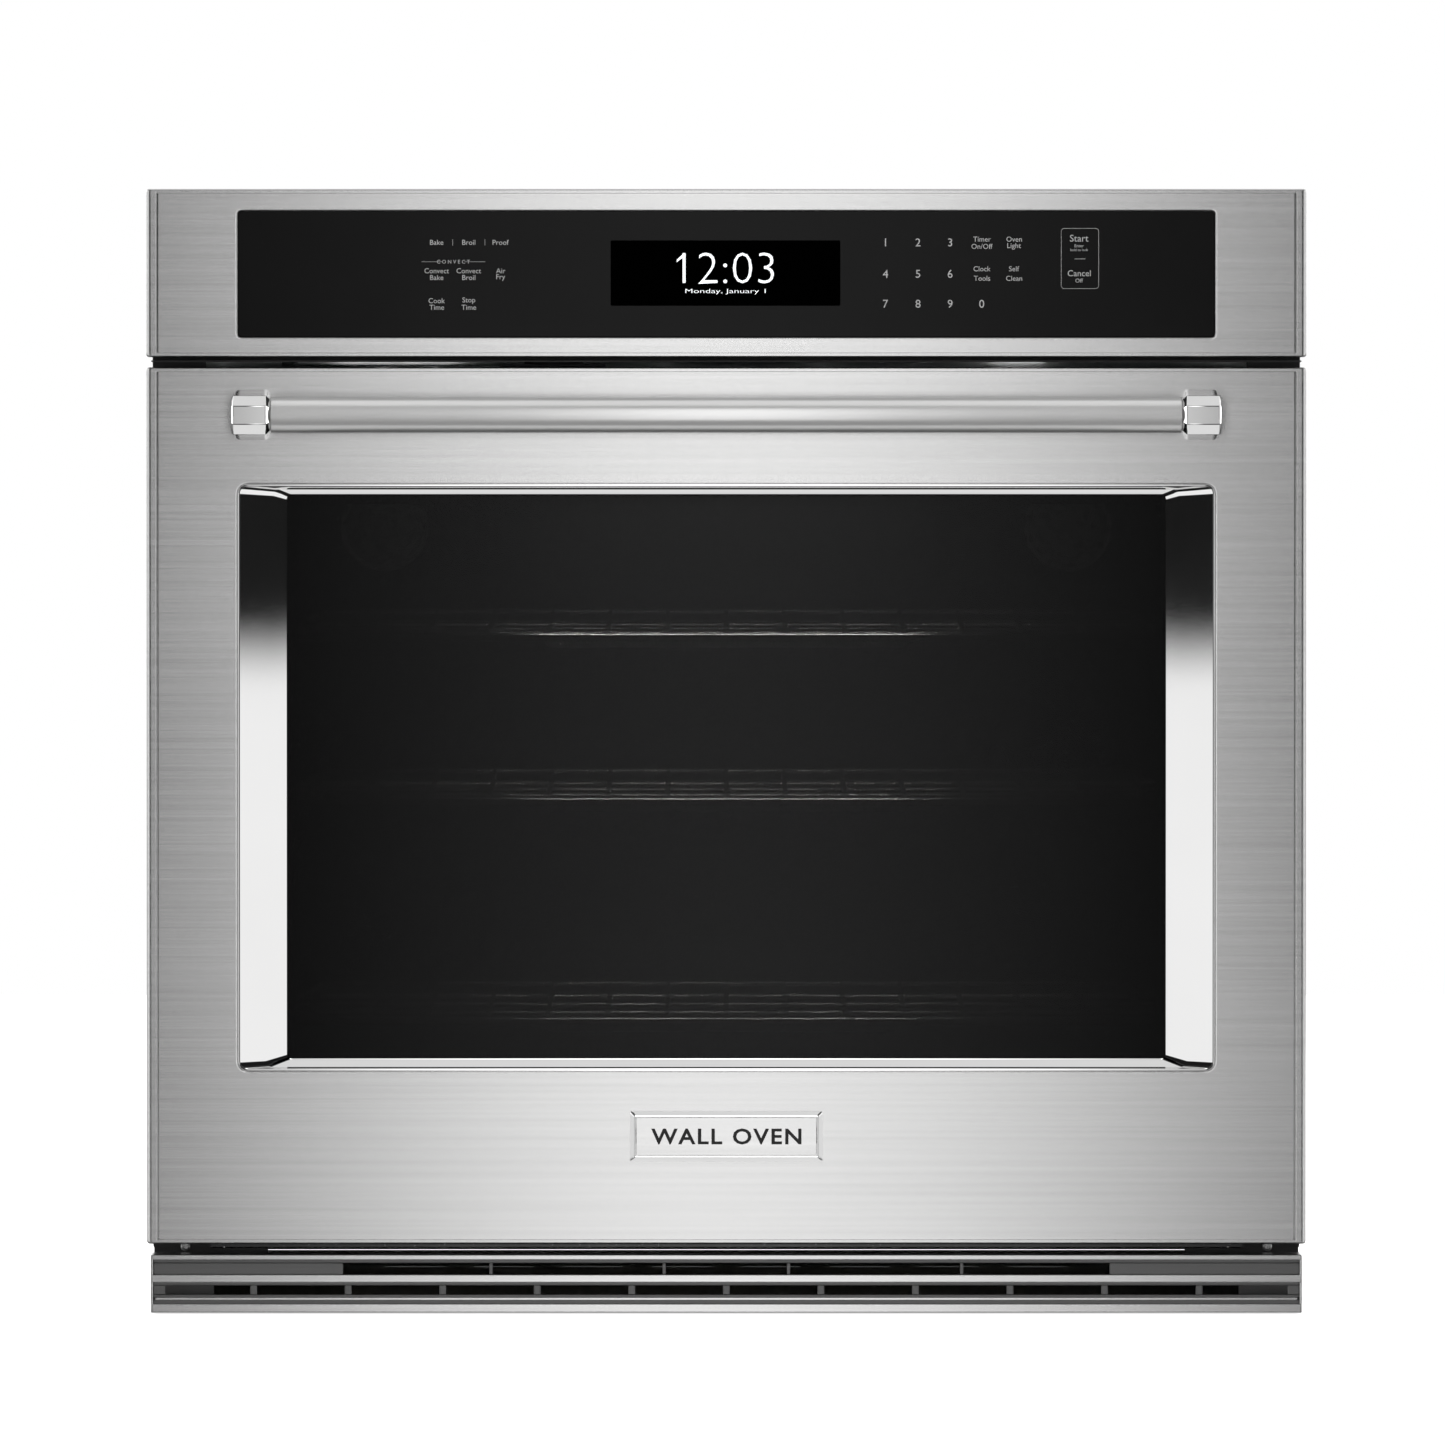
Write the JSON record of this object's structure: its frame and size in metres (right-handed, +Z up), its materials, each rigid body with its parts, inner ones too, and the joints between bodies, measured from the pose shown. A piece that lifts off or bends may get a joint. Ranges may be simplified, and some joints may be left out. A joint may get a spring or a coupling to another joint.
{
  "type": "wall oven",
  "caption": "Built-in electric wall oven with touch console, drop-down glass door on sprung hinges, sliding wire racks, convection fan and lower vent trim.",
  "frame": {"origin": "on the base, under the middle of the whole oven's bounding box", "axes": "+X to the right seen from the front, +Y from the front to the rear, +Z up"},
  "size_m": [0.756, 0.676, 0.733],
  "materials": {
    "brushed_panel_steel": "satin",
    "polished_steel": "polished",
    "satin_bar": "satin",
    "galvanised_sheet": "satin",
    "black_sheet": "satin",
    "control_glass": "gloss",
    "door_glass": "gloss",
    "lamp_glass": "gloss",
    "cavity_enamel": "gloss",
    "insulation": "matte",
    "gasket_braid": "matte",
    "element_sheath": "matte",
    "cast_aluminium": "satin",
    "rack_wire": "satin",
    "machined_steel": "satin",
    "circuit_board": "satin",
    "black_plastic": "matte"
  },
  "bodies": {
    "chassis": {"base_pan": "galvanised_sheet", "side_panel_right": "galvanised_sheet", "side_panel_left": "galvanised_sheet", "rear_cover": "galvanised_sheet", "top_cover": "galvanised_sheet", "upper_deck": "galvanised_sheet", "mounting_flange_right": "black_sheet", "mounting_flange_left": "black_sheet", "lower_vent_trim": "brushed_panel_steel", "control_panel_frame": "brushed_panel_steel", "control_glass": "control_glass", "display_board": "circuit_board", "console_bracket": "black_sheet", "relay_board": "circuit_board", "terminal_box": "galvanised_sheet", "cavity_liner": "cavity_enamel", "cavity_back": "cavity_enamel", "cavity_front_frame": "cavity_enamel", "door_gasket": "gasket_braid", "insulation_blanket": "insulation", "temperature_sensor": "machined_steel", "lamp_housing_right": "galvanised_sheet", "lamp_housing_left": "galvanised_sheet", "lamp_lens_right": "lamp_glass", "lamp_lens_left": "lamp_glass", "broil_element": "element_sheath", "bake_element": "element_sheath", "convection_element": "element_sheath", "fan_cover": "cavity_enamel", "fan_motor": "cast_aluminium", "blower_housing": "galvanised_sheet", "blower_motor": "cast_aluminium", "air_duct": "galvanised_sheet", "vent_tube": "galvanised_sheet", "latch_motor": "black_plastic", "hinge_arm_right": "machined_steel", "hinge_arm_left": "machined_steel", "hinge_receiver_right": "galvanised_sheet", "hinge_receiver_left": "galvanised_sheet"},
    "rack_upper": {"rack_upper": "rack_wire"},
    "rack_middle": {"rack_middle": "rack_wire"},
    "rack_lower": {"rack_lower": "rack_wire"},
    "convection_fan": {"convection_fan": "cast_aluminium"},
    "blower_wheel": {"blower_wheel": "cast_aluminium"},
    "latch_hook": {"latch_hook": "machined_steel"},
    "door": {"door_outer_panel": "brushed_panel_steel", "window_bezel": "polished_steel", "outer_glass": "door_glass", "middle_glass": "door_glass", "inner_glass": "door_glass", "door_liner": "cavity_enamel", "door_insulation": "insulation", "handle_bar": "satin_bar", "handle_end_right": "polished_steel", "handle_end_left": "polished_steel", "badge_plate": "polished_steel", "hinge_body_right": "galvanised_sheet", "hinge_body_left": "galvanised_sheet", "hinge_spring_right": "machined_steel", "hinge_spring_left": "machined_steel"}
  },
  "joints": [
    {"name": "door_hinge", "type": "hinge", "parent": "chassis", "child": "door", "pos_m": [0, -0.282, 0.059], "axis": [1, 0, 0], "range_deg": [0, 90], "stiffness_Nm_per_rad": 13, "springref_deg": -22.92},
    {"name": "upper_rack_slide", "type": "slide", "parent": "chassis", "child": "rack_upper", "axis": [0, -1, 0], "range_m": [0, 0.299]},
    {"name": "middle_rack_slide", "type": "slide", "parent": "chassis", "child": "rack_middle", "axis": [0, -1, 0], "range_m": [0, 0.299]},
    {"name": "lower_rack_slide", "type": "slide", "parent": "chassis", "child": "rack_lower", "axis": [0, -1, 0], "range_m": [0, 0.26]},
    {"name": "convection_fan_spin", "type": "hinge", "parent": "chassis", "child": "convection_fan", "pos_m": [0, 0.21, 0.3419], "axis": [0, 1, 0], "continuous": true},
    {"name": "cooling_blower_spin", "type": "hinge", "parent": "chassis", "child": "blower_wheel", "pos_m": [0, 0.226, 0.65], "axis": [0, 0, 1], "continuous": true},
    {"name": "door_latch_turn", "type": "hinge", "parent": "chassis", "child": "latch_hook", "pos_m": [-0.113, -0.225, 0.6], "axis": [0, 0, 1], "range_deg": [0, 20]}
  ],
  "couplings": [
    {"joint": "upper_rack_slide", "follows": "door_hinge", "m_per_rad": 0.19},
    {"joint": "middle_rack_slide", "follows": "door_hinge", "m_per_rad": 0.19},
    {"joint": "lower_rack_slide", "follows": "door_hinge", "m_per_rad": 0.165}
  ]
}
